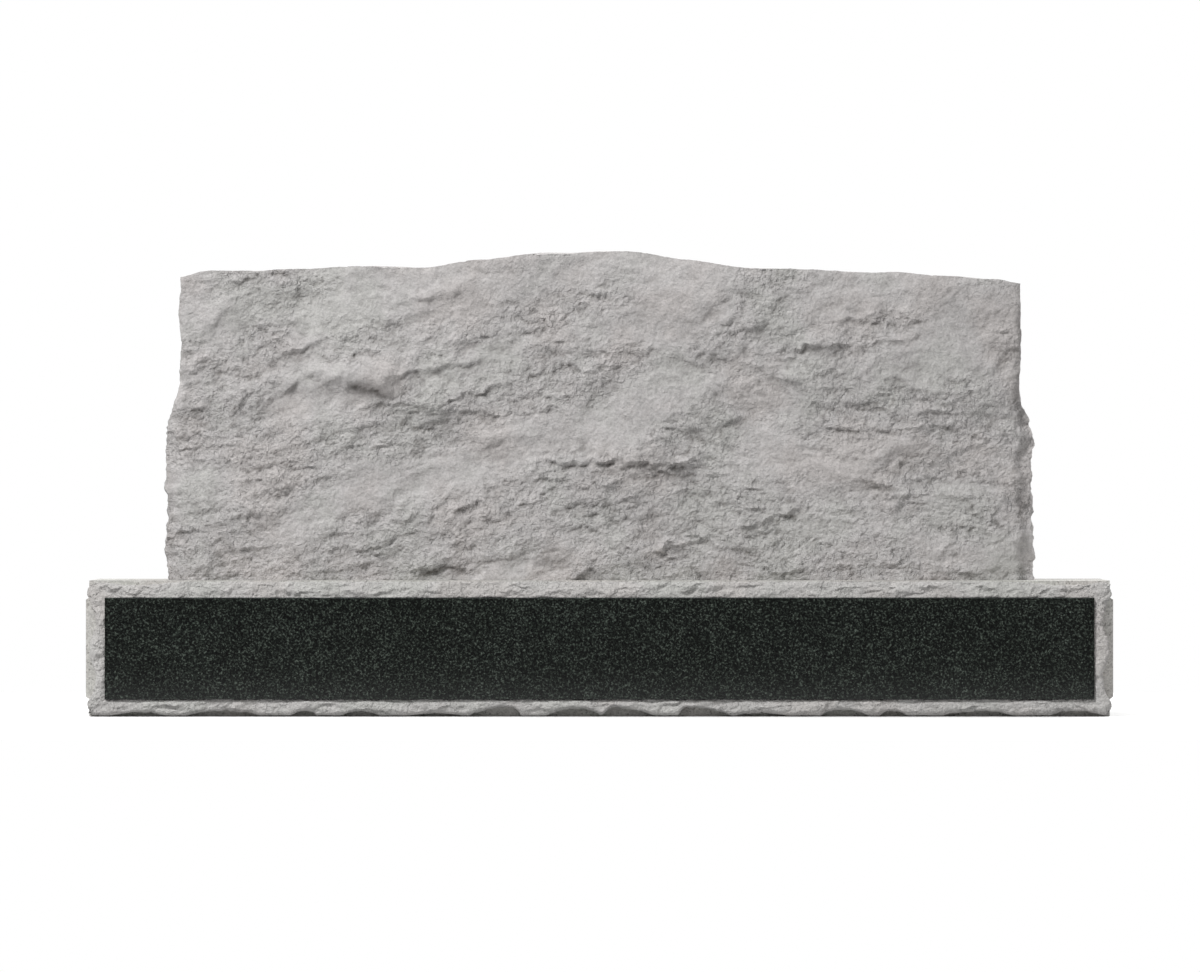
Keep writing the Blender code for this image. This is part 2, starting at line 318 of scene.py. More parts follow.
    def fine_stand(self, x: Array, z: Array) -> Array:
        """The small lumps and flakes that the solid leaves out, less of them where the face is calm.

        Args:
            x: place along the face.
            z: place up the face.

        Returns:
            How far each point stands out.
        """
        (broad_x, broad_z), (fine_x, fine_z) = self.strayed(x, z), self.jagged(x, z)
        fine_x, fine_z = broad_x + fine_x - x, broad_z + fine_z - z
        lumps = self.waves(fine_x, fine_z, self.fine, self.fine_lean, 3)
        return self.roughness(x, z) * (lumps + self.flake_stand(fine_x, fine_z))


@dataclass(frozen=True)
class Ledges:
    """Ledges of a broken face, each swelling out above its line and dropping back below it.

    Each row is a place as shares of half the width and of the height, then the length, the rise per
    metre to the right and how far it stands proud, in metres.
    """

    rows: tuple[tuple[float, float, float, float, float], ...]
    reach: float = 0.060
    hollow: float = 0.15
    edge: float = 0.0024
    ragged: float = 0.0035
    ragged_length: float = 0.030
    thinnest: float = 0.45
    thickens: float = 1.1
    full_share: float = 1.2

    def stand(self, x: Array, z: Array, half: float, height: float) -> Array:
        """How far the ledges stand out at each point.

        Args:
            x: place along the face.
            z: height above the face's foot.
            half: half the face's width.
            height: its height.

        Returns:
            The sum of the ledges, thicker in some places than in others.
        """
        out = np.zeros_like(x)
        along, up = x / self.ragged_length, z / self.ragged_length
        thick = self.thinnest + self.thickens * ease(0.5 + ripple(along, up, Pattern.LEDGE_THICKNESS))
        jag = self.ragged * ripple(2 * along, 2 * up, Pattern.LEDGE_LINE)
        for place, level, length, rise, stand in self.rows:
            along = (x - place * half) / (length / 2)
            over = z + jag - level * height - rise * along * length / 2
            step = (1 + np.tanh(over / self.edge)) / 2
            swell = step * (1 - np.clip(over / self.reach, 0, 1)) ** 2
            below = (1 - step) * np.exp(np.minimum(over, 0) / (self.reach / 3))
            out += stand * ease(self.full_share - along ** 2) * (swell - self.hollow * below)
        return out * thick


def hollows(stand: Array, spread: float, depth: float) -> Array:
    """How far each point of a grid lies below the average round it.

    The average is a Gaussian one, made by damping the stand's Fourier waves by their frequency.

    Args:
        stand: how far each point stands out.
        spread: the average's reach, in cells.
        depth: how much below the average counts as 1.

    Returns:
        0 on level and proud places up to 1 in the deepest.
    """
    mirrored = np.concatenate([stand, stand[::-1]])
    mirrored = np.concatenate([mirrored, mirrored[:, ::-1]], axis=1)
    up, along = np.fft.fftfreq(mirrored.shape[0]), np.fft.rfftfreq(mirrored.shape[1])
    damp = np.exp(-2 * (math.pi * spread) ** 2 * (up[:, None] ** 2 + along ** 2))
    average = np.fft.irfft2(np.fft.rfft2(mirrored) * damp, s=mirrored.shape)
    average = average[:stand.shape[0], :stand.shape[1]]
    return np.clip((average - stand) / depth, 0, 1)


def quads(index: Array) -> Array:
    """Four-cornered faces between the rows and columns of a grid of point numbers."""
    corners = (index[:-1, :-1], index[:-1, 1:], index[1:, 1:], index[1:, :-1])
    return np.stack([corner.ravel() for corner in corners], axis=1)


def fan(fine: Array, coarse: Array) -> Array:
    """Triangles between a row of points and one with half as many steps, three to a coarse step.

    Args:
        fine: point numbers of the finer row.
        coarse: point numbers of the coarser row, one for every second point of the finer.

    Returns:
        Three corners a row.
    """
    first, middle, last = fine[:-2:2], fine[1:-1:2], fine[2::2]
    left, right = coarse[:-1], coarse[1:]
    parts = ((first, middle, left), (middle, right, left), (middle, last, right))
    return np.concatenate([np.stack(part, axis=1) for part in parts])


class MeshDraft:
    """Points and faces gathered for one piece."""

    def __init__(self) -> None:
        """Starts with nothing in it."""
        self.points: list[Array] = []
        self.count = 0
        self.faces: list[list[int]] = []
        self.finish: list[int] = []

    def add_points(self, x: Array, y: Array, z: Array) -> Array:
        """Adds points and returns their numbers, in the shape of x.

        Args:
            x: places along X.
            y: places along Y.
            z: places along Z.

        Returns:
            The points' numbers.
        """
        x, y, z = np.broadcast_arrays(x, y, z)
        self.points.append(np.stack([x.ravel(), y.ravel(), z.ravel()], axis=1))
        numbers = self.count + np.arange(x.size).reshape(x.shape)
        self.count += x.size
        return numbers

    def add_faces(self, faces: Array, surface: Surface = Surface.ROCK) -> None:
        """Adds faces that all have the same finish.

        Args:
            faces: the corners' point numbers, one face a row.
            surface: their finish.
        """
        rows = faces.tolist()
        self.faces += rows
        self.finish += [surface.value] * len(rows)

    def piece(self, name: str, materials: list[bpy.types.Material], crease: float,
              hollow: Array = np.zeros(0), rough: Array = np.zeros(0)) -> bpy.types.Object:
        """Makes the mesh object, its edges sharp where they turn by more than crease.

        Args:
            name: the piece's name.
            materials: its material slots.
            crease: an angle in degrees.
            hollow: how deep the first points lie in hollows, 0 to 1. The others don't.
            rough: how broken the first points are, 0 to 1. The others are mostly broken.

        Returns:
            The new object, in the scene.
        """
        mesh = bpy.data.meshes.new(name)
        mesh.from_pydata(np.concatenate(self.points).tolist(), [], self.faces)
        for material in materials:
            mesh.materials.append(material)
        mesh.polygons.foreach_set("material_index", self.finish)
        mesh.shade_smooth()
        mesh.set_sharp_from_angle(angle=math.radians(crease))
        for mark, values, usual in (("hollow", hollow, 0.0), ("rough", rough, 0.8)):
            every = np.full(self.count, usual)
            every[:values.size] = values.ravel()
            mesh.attributes.new(mark, "FLOAT", "POINT").data.foreach_set("value", every)
        mesh.update()
        piece = bpy.data.objects.new(name, mesh)
        bpy.context.scene.collection.objects.link(piece)
        return piece


def linear(colour: str) -> tuple[float, float, float, float]:
    """A linear colour from an sRGB one.

    Args:
        colour: an sRGB hex value such as a7a4a3.

    Returns:
        Red, green, blue and an alpha of 1.
    """
    parts = [int(colour[start:start + 2], 16) / 255 for start in (0, 2, 4)]
    red, green, blue = (
        part / 12.92 if part <= 0.04045 else ((part + 0.055) / 1.055) ** 2.4 for part in parts)
    return red, green, blue, 1.0


def add_node(tree: bpy.types.NodeTree, kind: str, settings: dict | None = None,
             links: dict | None = None) -> bpy.types.Node:
    """Adds a node with its settings and the links into it.

    Args:
        tree: where the node goes.
        kind: the node's type, without ShaderNode before it.
        settings: values of properties by name, or of inputs by name or number. A ramp's stops are
            pairs of a place and an sRGB hex colour.
        links: output sockets by the name or number of the input that they feed.

    Returns:
        The new node.
    """
    node = tree.nodes.new("ShaderNode" + kind)
    for name, value in (settings or {}).items():
        if name == "stops":
            elements = node.color_ramp.elements
            for _ in value[2:]:
                elements.new(1.0)
            for element, (place, colour) in zip(elements, value):
                element.position = place
                element.color = linear(colour)
        elif isinstance(name, str) and hasattr(node, name):
            setattr(node, name, value)
        else:
            node.inputs[name].default_value = value
    for name, source in (links or {}).items():
        tree.links.new(source, node.inputs[name])
    return node


def new_material(name: str, **sockets: float) -> tuple[
        bpy.types.Material, bpy.types.NodeTree, bpy.types.Node]:
    """A material with its shader's plain values set.

    Args:
        name: the material's name.
        sockets: values by the socket's name, with _ for a space.

    Returns:
        The material, its node tree and its shader.
    """
    material = bpy.data.materials.new(name)
    material.use_nodes = True
    tree = material.node_tree
    shader = tree.nodes["Principled BSDF"]
    for socket, value in sockets.items():
        shader.inputs[socket.replace("_", " ")].default_value = value
    return material, tree, shader


def clouds(tree: bpy.types.NodeTree, place: bpy.types.NodeSocket, size: float, detail: float,
           roughness: float = 0.5) -> bpy.types.NodeSocket:
    """Smooth random clouds.

    Args:
        tree: where the node goes.
        place: each point's place.
        size: a cloud's size in metres.
        detail: how many finer sizes it has.
        roughness: how strong each is beside the one before.

    Returns:
        The clouds' value, 0 to 1.
    """
    settings = {"Scale": 1 / size, "Detail": detail, "Roughness": roughness}
    return add_node(tree, "TexNoise", settings, {"Vector": place}).outputs["Fac"]


def toned(tree: bpy.types.NodeTree, colour: bpy.types.NodeSocket, value: bpy.types.NodeSocket,
          stops: list[tuple[float, str]]) -> bpy.types.NodeSocket:
    """A colour multiplied by a ramp's.

    Args:
        tree: where the nodes go.
        colour: the colour.
        value: where on the ramp each point is.
        stops: the ramp's places and colours.

    Returns:
        The product.
    """
    tone = add_node(tree, "ValToRGB", {"stops": stops}, {"Fac": value})
    mixed = add_node(
        tree, "Mix", {"data_type": "RGBA", "blend_type": "MULTIPLY", 0: 1.0},
        {6: colour, 7: tone.outputs["Color"]})
    return mixed.outputs[2]


def seen_as(tree: bpy.types.NodeTree, shader: bpy.types.NodeSocket,
            shown: bpy.types.NodeSocket) -> bpy.types.NodeSocket:
    """A shader for the light, with another shown to the camera.

    Args:
        tree: where the nodes go.
        shader: what the light meets.
        shown: what the camera sees.

    Returns:
        Both in one.
    """
    seen = add_node(tree, "LightPath").outputs["Is Camera Ray"]
    return add_node(tree, "MixShader", links={0: seen, 1: shader, 2: shown}).outputs["Shader"]


@dataclass(frozen=True)
class GreyGranite:
    """Light grey granite, as broken by the pitching tool or as sawn.

    Its crystals are pale feldspar, greyer quartz and a few dark mica flecks, 1 to 3 mm across.
    """

    name: str
    feldspar: str
    quartz: str
    mica: str
    roughness: float
    grit: float
    warm: str = "fffdfc"
    cool: str = "fcfefc"
    grain: float = 0.0022
    cloud_size: float = 0.110
    # Painted shade: the dim grey that points deep in hollows are darkened towards, standing in for the shade
    # that falls in them.
    hollow_shade: str = "a09e9a"
    calm_grit: float = 0.40
    mottle_size: float = 0.014
    flake: float = 0.0085
    sugar_size: float = 2.2
    facet_size: float = 1.6
    facet_height: float = 0.13
    split_height: float = 1.1
    split_wander: float = 14.0

    def build(self) -> bpy.types.Material:
        """The granite as a material.

        Returns:
            The material.
        """
        material, tree, shader = new_material(self.name, Roughness=self.roughness, IOR=1.5)
        place = add_node(tree, "TexCoord").outputs["Object"]
        cells = add_node(tree, "TexVoronoi", {"Scale": 1 / self.grain}, {"Vector": place})
        kind = add_node(tree, "SeparateColor", links={"Color": cells.outputs["Color"]})
        crystals = add_node(
            tree, "ValToRGB",
            {"stops": [(0.0, self.mica), (0.04, self.mica), (0.07, self.quartz), (0.45, self.quartz),
                       (0.55, self.feldspar)]},
            {"Fac": kind.outputs["Red"]})
        hue = clouds(tree, place, self.cloud_size, 4.0)
        mottle = clouds(tree, place, self.mottle_size, 5.0, 0.6)
        # Painted shade: points that the hollow mark puts deep in hollows are darkened towards a dim grey,
        # which stands in for the shade falling in them.
        deep = add_node(tree, "Attribute", {"attribute_name": "hollow"}).outputs["Fac"]
        colour = crystals.outputs["Color"]
        for value, stops in (
                (hue, [(0.38, self.cool), (0.50, "ffffff"), (0.62, self.warm)]),
                (mottle, [(0.30, "ececec"), (0.65, "ffffff")]),
                (deep, [(0.0, "ffffff"), (1.0, self.hollow_shade)])):
            colour = toned(tree, colour, value, stops)
        tree.links.new(colour, shader.inputs["Base Color"])
        sugar = clouds(tree, place, self.sugar_size * self.grain, 2.0)
        facets = add_node(
            tree, "TexVoronoi", {"Scale": 1 / (self.facet_size * self.grain)}, {"Vector": place})
        height = add_node(tree, "SeparateColor", links={"Color": facets.outputs["Color"]})
        broken = add_node(
            tree, "Math", {"operation": "MULTIPLY_ADD", 1: self.facet_height},
            {0: height.outputs["Green"], 2: sugar})
        scales = add_node(
            tree, "TexWave",
            {"bands_direction": "Z", "wave_profile": "SAW", "Scale": WAVE_BAND / self.flake,
             "Distortion": self.split_wander, "Detail": 4.0, "Detail Scale": 1.6, "Detail Roughness": 0.62},
            {"Vector": place})
        thick = add_node(
            tree, "MapRange", {"From Min": 0.38, "From Max": 0.62, "To Min": 0.0, "To Max": -1.0},
            {"Value": clouds(tree, place, 3 * self.flake, 2.0)})
        split = add_node(
            tree, "Math", {"operation": "MULTIPLY"}, {0: scales.outputs["Fac"], 1: thick.outputs["Result"]})
        relief = add_node(
            tree, "Math", {"operation": "MULTIPLY_ADD", 1: self.split_height},
            {0: split.outputs["Value"], 2: broken.outputs["Value"]})
        broken_here = add_node(tree, "Attribute", {"attribute_name": "rough"})
        strength = add_node(
            tree, "MapRange", {"To Min": self.calm_grit}, {"Value": broken_here.outputs["Fac"]})
        bump = add_node(
            tree, "Bump", {"Distance": self.grit},
            {"Height": relief.outputs["Value"], "Strength": strength.outputs["Result"]})
        tree.links.new(bump.outputs["Normal"], shader.inputs["Normal"])
        return material


# Split off in lumps by the pitching tool: each crystal cleaves its own way, so it is matt and sugary.
ROCK_FACED = GreyGranite(
    "Grey_granite_rock_faced", feldspar="bfbcbb", quartz="b6b3b2", mica="b2afae", roughness=0.88, grit=0.0050)
# The base's margin and back, split in the same way from a stone with slightly less red in it.
PITCHED = GreyGranite(
    "Grey_granite_pitched", feldspar="bfbdbb", quartz="b6b4b2", mica="b2b0ae", roughness=0.88, grit=0.0042)
# Cut by the diamond saw and left so: flat and dull, with its crystals showing as salt and pepper.
SAWN = GreyGranite(
    "Grey_granite_sawn", feldspar="cfcdc9", quartz="bcbab6", mica="989692", roughness=0.70, grit=0.0003)


@dataclass(frozen=True)
class BlackGranite:
    """Fine-grained black granite, ground and polished: nearly black with pale feldspar flecks under gloss."""

    name: str = "Black_granite_polished"
    roughness: float = 0.12
    grain: float = 0.0030
    cloud_size: float = 0.05

    def build(self) -> bpy.types.Material:
        """The polished granite as a material.

        Returns:
            The material.
        """
        material, tree, shader = new_material(self.name, Roughness=self.roughness, IOR=1.5)
        place = add_node(tree, "TexCoord").outputs["Object"]
        crystals = add_node(
            tree, "ValToRGB",
            {"stops": [(0.36, "010202"), (0.48, "111512"), (0.58, "2a302b"), (0.72, "5e675f")]},
            {"Fac": clouds(tree, place, self.grain, 3.0, 0.65)})
        cloud = clouds(tree, place, self.cloud_size, 3.0)
        colour = toned(tree, crystals.outputs["Color"], cloud, [(0.35, "dcdedc"), (0.65, "ffffff")])
        tree.links.new(colour, shader.inputs["Base Color"])
        return material


FRONT_LEDGES = Ledges((
    (-0.909, 0.698, 0.148, 0.07, 0.0026), (-0.734, 0.748, 0.123, 0.37, 0.0030),
    (-0.353, 0.706, 0.197, 0.16, 0.0030), (-0.257, 0.626, 0.099, 0.40, 0.0026),
    (-0.015, 0.681, 0.105, 0.33, 0.0020), (-0.070, 0.791, 0.068, 0.15, 0.0022),
    (-0.404, 0.929, 0.142, 0.16, 0.0024), (-0.066, 0.385, 0.148, 0.06, 0.0036),
    (0.109, 0.379, 0.173, -0.04, 0.0052), (0.208, 0.389, 0.080, 0.35, 0.0036),
    (-0.074, 0.332, 0.136, -0.14, 0.0026), (0.530, 0.771, 0.136, 0.09, 0.0030),
    (0.689, 0.783, 0.111, 0.17, 0.0026), (0.762, 0.552, 0.101, 0.06, 0.0032),
    (0.900, 0.442, 0.093, 0.33, 0.0030), (0.733, 0.275, 0.056, -0.16, 0.0026),
    (0.419, 0.208, 0.123, 0.32, 0.0040), (0.192, 0.110, 0.080, 0.26, 0.0038),
    (-0.321, 0.233, 0.062, 0.58, 0.0032), (0.621, 0.863, 0.080, 0.03, 0.0028),
    (-0.848, 0.489, 0.058, 0.47, 0.0028), (-0.834, 0.211, 0.068, 0.09, 0.0028),
    (-0.607, 0.035, 0.074, 0.08, 0.0020), (-0.440, 0.029, 0.086, 0.06, 0.0018),
    (-0.237, 0.070, 0.080, 0.20, 0.0028), (-0.035, 0.020, 0.049, 0.12, 0.0018),
    (0.876, 0.022, 0.105, 0.08, 0.0032), (0.073, 0.263, 0.056, 0.18, 0.0022),
    (-0.981, 0.161, 0.062, 0.20, 0.0028), (-0.854, 0.098, 0.062, 0.04, 0.0028),
    (0.299, 0.527, 0.074, 0.07, 0.0024), (-0.981, 0.563, 0.062, 0.10, 0.0024),
    (0.404, 0.896, 0.039, 0.25, 0.0020), (-0.225, 0.458, 0.099, 0.12, 0.0024),
))

FRONT_STEPS = Ledges((
    (-0.764, 0.615, 0.096, 0.62, 0.0050), (-0.603, 0.648, 0.154, -0.14, 0.0052),
    (-0.452, 0.590, 0.105, -0.44, 0.0036), (0.407, 0.683, 0.117, -0.36, 0.0050),
    (0.307, 0.851, 0.057, 0.93, 0.0030), (-0.921, 0.849, 0.068, 0.82, 0.0035),
    (0.860, 0.092, 0.080, 0.20, 0.0030), (-0.599, 0.788, 0.086, 0.14, 0.0020),
), edge=0.0050)

FRONT_SWELLS = Ledges(((0.700, 0.850, 0.700, 0.03, 0.0190), (-0.838, 0.469, 0.284, 0.09, -0.0050)),
                      reach=2.0, hollow=0.0, edge=0.0600, ragged_length=0.30)

FRONT_SLOPES = Ledges((
    (-0.770, 0.639, 0.167, 0.34, 0.0090), (-0.595, 0.672, 0.154, -0.13, 0.0090),
    (-0.428, 0.601, 0.142, -0.38, 0.0070), (0.020, 0.300, 0.300, -0.06, 0.0040),
    (-0.200, 0.060, 0.420, 0.04, 0.0030),
), reach=0.150, edge=0.0150, hollow=0.0, ragged_length=0.10)

MARGIN_LEDGES = Ledges((
    (-0.934, 0.925, 0.040, -0.36, 0.0024), (-0.891, 0.925, 0.032, 0.40, 0.0020),
    (-0.761, 0.955, 0.044, -0.05, 0.0024), (-0.572, 0.910, 0.060, 0.10, 0.0022),
    (-0.514, 0.960, 0.042, 0.15, 0.0019), (-0.316, 0.976, 0.026, -0.10, 0.0020),
    (-0.170, 0.962, 0.058, -0.05, 0.0019), (0.168, 0.962, 0.058, 0.05, 0.0024),
    (0.312, 0.970, 0.030, 0.15, 0.0020), (0.481, 0.940, 0.042, 0.20, 0.0024),
    (0.553, 0.918, 0.074, -0.15, 0.0029), (0.642, 0.948, 0.024, 0.02, 0.0018),
    (0.753, 0.948, 0.030, -0.20, 0.0022), (0.938, 0.948, 0.036, 0.10, 0.0024),
    (-0.840, 0.085, 0.060, 0.10, 0.0019), (-0.578, 0.066, 0.034, 0.10, 0.0020),
    (-0.478, 0.062, 0.050, -0.25, 0.0020), (-0.105, 0.080, 0.050, 0.20, 0.0020),
    (0.115, 0.072, 0.060, 0.25, 0.0022), (0.572, 0.070, 0.032, -0.10, 0.0022),
    (0.345, 0.070, 0.060, 0.05, 0.0012), (0.870, 0.062, 0.060, 0.15, 0.0019),
), reach=0.012, hollow=0.30, edge=0.0006)


@dataclass
class Tablet:
    """The upright stone, rock-faced all round, in metres."""

    width: float = 1.248
    thickness: float = 0.200
    shoulder_height: float = 0.451
    shoulder_camber: float = 0.018
    shoulder_tilt: float = 0.010
    hump_rise: float = 0.021
    hump_centre: float = -0.011
    hump_reach: float = 0.245
    hump_power: float = 1.6
    corner_drop: float = 0.006
    corner_reach: float = 0.038
    foot_flare: float = 0.020
    flare_start: float = 0.315
    flare_drop: float = 0.110
    flare_fall: float = 0.012
    flare_round: float = 0.006
    flare_wave: float = 0.008
    flare_wave_length: float = 0.050
    top_wave: float = 0.0030
    top_wave_length: float = 0.078
    top_lump_power: int = 12
    top_chip_power: int = 30
    top_rough: float = 1.4
    top_shift: float = 5.0
    end_wave: float = 0.0050
    end_wave_length: float = 0.060
    end_band: float = 0.060
    end_rough: float = 0.8
    ends_apart: float = 20.0
    chips_apart: float = 3.0
    arris_fall: float = 0.0013
    arris_reach: float = 0.0110
    arris_round: float = 0.003
    tooth: Wave = Wave(0.110, 0.018, 0.0042)
    tooth_calm: float = 0.30
    tooth_level: float = 0.27
    tooth_fade: float = 0.06
    small_tooth: float = 0.6
    back_share: float = 0.55
    back_rough: float = 1.7
    # How much painted shade the back's hollows get, as a share of the front's.
    back_hollow_shade: float = 0.2
    small_hollow: tuple[float, float] = (1.5, 0.0032)
    large_hollow: tuple[float, float] = (5.0, 0.0090)
    crease: float = 40.0
    columns: int = 424
    rows: int = 156
    edge_rows: int = 6
    edge_step: float = 0.004
    deep_rows: int = 24

    def top_line(self, x: Array) -> Array:
        """Height of the top above the foot: cambered, tilted shoulders, one low hump and slow waves.

        Args:
            x: place along the stone.

        Returns:
            The camber is a parabola, the hump a power of a quarter turn of cosine.
        """
        share = x / (self.width / 2)
        shoulders = self.shoulder_height + self.shoulder_camber * (1 - share ** 2)
        shoulders = shoulders - self.shoulder_tilt / 2 * share
        from_hump = np.clip(np.abs(x - self.hump_centre) / self.hump_reach, 0, 1)
        hump = self.hump_rise * np.cos(from_hump * math.pi / 2) ** self.hump_power
        corner = self.corner_drop * ease(1 - (self.width / 2 - np.abs(x)) / self.corner_reach)
        waves = self.top_wave * ripple(x / self.top_wave_length, x * 0, Pattern.TOP_LINE)
        return shoulders + hump - corner + waves

    def half_width(self, z: Array) -> Array:
        """Half the width at a height above the foot: the lower part flares out."""
        return self.width / 2 + self.foot_flare * ease((self.flare_start - z) / self.flare_drop)

    def edge_fall(self, x: Array, z: Array) -> Array:
        """How far a face falls back towards the ends and the top, and most on the flare.

        Args:
            x: place along the face.
            z: height above the foot.

        Returns:
            The depth of the fall.
        """
        to_edge = nearer(self.half_width(z) - np.abs(x), self.top_line(x) - z, self.arris_round)
        fall = self.arris_fall * (1 - ease(to_edge / self.arris_reach)) ** 2
        wander = self.flare_wave * ripple(x * 0, z / self.flare_wave_length, Pattern.FLARE)
        start = self.width / 2 - self.flare_round + wander
        return fall + self.flare_fall * ease((np.abs(x) - start) / self.foot_flare)

    def front_stand(self, x: Array, z: Array) -> Array:
        """How far the front stands out: its lumps and flakes, great and small, and its ledges.

        Args:
            x: place along the face.
            z: height above the foot.

        Returns:
            The stand of each point.
        """
        rock = RockFace(Pattern.FRONT)
        fine_x, fine_z = rock.jagged(x, z)
        stand = rock.coarse_stand(x, z) + rock.fine_stand(x, z)
        for group in (FRONT_LEDGES, FRONT_STEPS, FRONT_SLOPES, FRONT_SWELLS):
            stand += group.stand(fine_x, fine_z, self.width / 2, self.shoulder_height)
        return stand

    def back_stand(self, x: Array, z: Array) -> Array:
        """How far the back stands out: lower broad lumps than the front's, and coarser flakes."""
        rock = RockFace(Pattern.BACK)
        return self.back_share * rock.coarse_stand(x, z) + self.back_rough * rock.fine_stand(x, z)

    def point(self, across: Array, deep: Array, high: Array, foot: float) -> tuple[Array, Array, Array]:
        """The place in the rough stone of a point in a plain block.

        The block's sides are moved to the outline, then its faces out by the lumps, the ledges and
        the fall towards the edges. The ends and the top are broken by lumps of their own.

        Args:
            across: -1 to 1, left to right.
            deep: -1 to 1, front to back.
            high: 0 to 1, from the foot to the top line.
            foot: height of the foot.

        Returns:
            The places along X, Y and Z.
        """
        x = across * self.half_width(high * self.shoulder_height)
        z = high * self.top_line(across * self.width / 2)
        y = deep * self.thickness / 2
        side = np.sign(across)
        near_end = ease(1 - (1 - np.abs(across)) * self.width / 2 / self.end_band)
        end_place = y / self.end_wave_length / 2 + 2 * self.ends_apart * side
        end_wave = ripple(end_place, z / self.end_wave_length, Pattern.END_WAVES)
        chips = RockFace(Pattern.ENDS).fine_stand(y + self.chips_apart * side, z)
        place, level = y / self.tooth.length, z / self.tooth.height
        teeth = ripple(place + self.ends_apart * side, level, Pattern.TEETH)
        small = ripple(place * 2 + self.ends_apart * side, level * 2.3, Pattern.SMALL_TEETH)
        broken = self.tooth_calm + (1 - self.tooth_calm) * ease((self.tooth_level - z) / self.tooth_fade)
        teeth = broken * self.tooth.stand * (teeth + self.small_tooth * small)
        x = x + side * near_end ** 2 * (self.end_wave * end_wave + self.end_rough * chips + teeth)
        top_lumps = ripple(x / self.top_wave_length, y / self.top_wave_length, Pattern.TOP_LUMPS)
        top_chips = RockFace(Pattern.TOP).fine_stand(x, y + self.top_shift)
        z = z + high ** self.top_lump_power * self.top_wave * top_lumps
        z = z - high ** self.top_chip_power * self.top_rough * np.abs(top_chips)
        fall = self.edge_fall(across * self.half_width(z), high * self.top_line(across * self.width / 2))
        front = -self.thickness / 2 - self.front_stand(x, z) + fall
        back = self.thickness / 2 + self.back_stand(x, z) - fall
        return x, front + (deep + 1) / 2 * (back - front), z + foot

    def build(self, material: bpy.types.Material) -> bpy.types.Object:
        """The tablet as one closed mesh.

        A fine grid makes the front and one of half its fineness the back. Rows of points between
        their left, top and right borders make the ends and the top, and one flat face the underside.

        Args:
            material: its finish.

        Returns:
            The piece.
        """
        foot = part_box("tablet")[0][2]
        draft = MeshDraft()
        across = np.linspace(-1, 1, self.columns + 1)
        high = np.linspace(0, 1, self.rows + 1)
        across_grid, high_grid = np.meshgrid(across, high)
        front = draft.add_points(*self.point(across_grid, np.full_like(across_grid, -1.0), high_grid, foot))
        across_back, high_back = across_grid[::2, ::2], high_grid[::2, ::2]
        back = draft.add_points(*self.point(across_back, np.full_like(across_back, 1.0), high_back, foot))
        draft.add_faces(quads(front))
        draft.add_faces(quads(back)[:, ::-1])

        def border(grid: Array) -> Array:
            """The left border upwards, the top one rightwards and the right one downwards."""
            return np.concatenate([grid[:, 0], grid[-1, 1:], grid[-2::-1, -1]])

        def rows_at(depths: Array, step: int) -> Array:
            """Adds rows of points along the border.

            Args:
                depths: a depth for each row, -1 to 1.
                step: 1 for every point of the border, 2 for every second.

            Returns:
                The points' numbers.
            """
            deep, path_across = np.meshgrid(depths, border(across_grid)[::step], indexing="ij")
            path_high = np.broadcast_to(border(high_grid)[::step], deep.shape)
            return draft.add_points(*self.point(path_across, deep, path_high, foot))

        near = -1 + np.arange(1, self.edge_rows + 1) * self.edge_step * 2 / self.thickness
        near_rows = np.concatenate([border(front)[None], rows_at(near, 1)])
        draft.add_faces(quads(near_rows))
        far = np.linspace(near[-1], 1, self.deep_rows + 2)[1:-1]
        far_rows = np.concatenate([rows_at(far, 2), border(back)[None]])
        draft.add_faces(quads(far_rows))
        draft.add_faces(fan(near_rows[-1], far_rows[0]))
        right = np.concatenate([near_rows[1:, -1], far_rows[:-1, -1]])
        left = np.concatenate([near_rows[1:, 0], far_rows[:-1, 0]])
        loop = np.concatenate([front[0], right, back[0][::-1], left[::-1]])
        draft.add_faces(loop[::-1][None])
        # Painted shade: how deep each point lies in hollows, which darkens its colour as shade would there.
        # The back gets a smaller share of it.
        hollow, rough = [], []
        for along, up, stand_of, pattern, shade_share in (
                (across_grid, high_grid, self.front_stand, Pattern.FRONT, 1.0),
                (across_back, high_back, self.back_stand, Pattern.BACK, self.back_hollow_shade)):
            x = along * self.width / 2
            z = up * self.top_line(x)
            stand = stand_of(x, z)
            deep = hollows(stand, *self.small_hollow) + hollows(stand, *self.large_hollow)
            hollow.append(shade_share * deep.ravel())
            rock = RockFace(pattern)
            rough.append(((rock.roughness(x, z) - rock.calm_share) / (1 - rock.calm_share)).ravel())
        hollow, rough = np.concatenate(hollow), np.concatenate(rough)
        return draft.piece("tablet_rock_faced", [material], self.crease, hollow, rough)


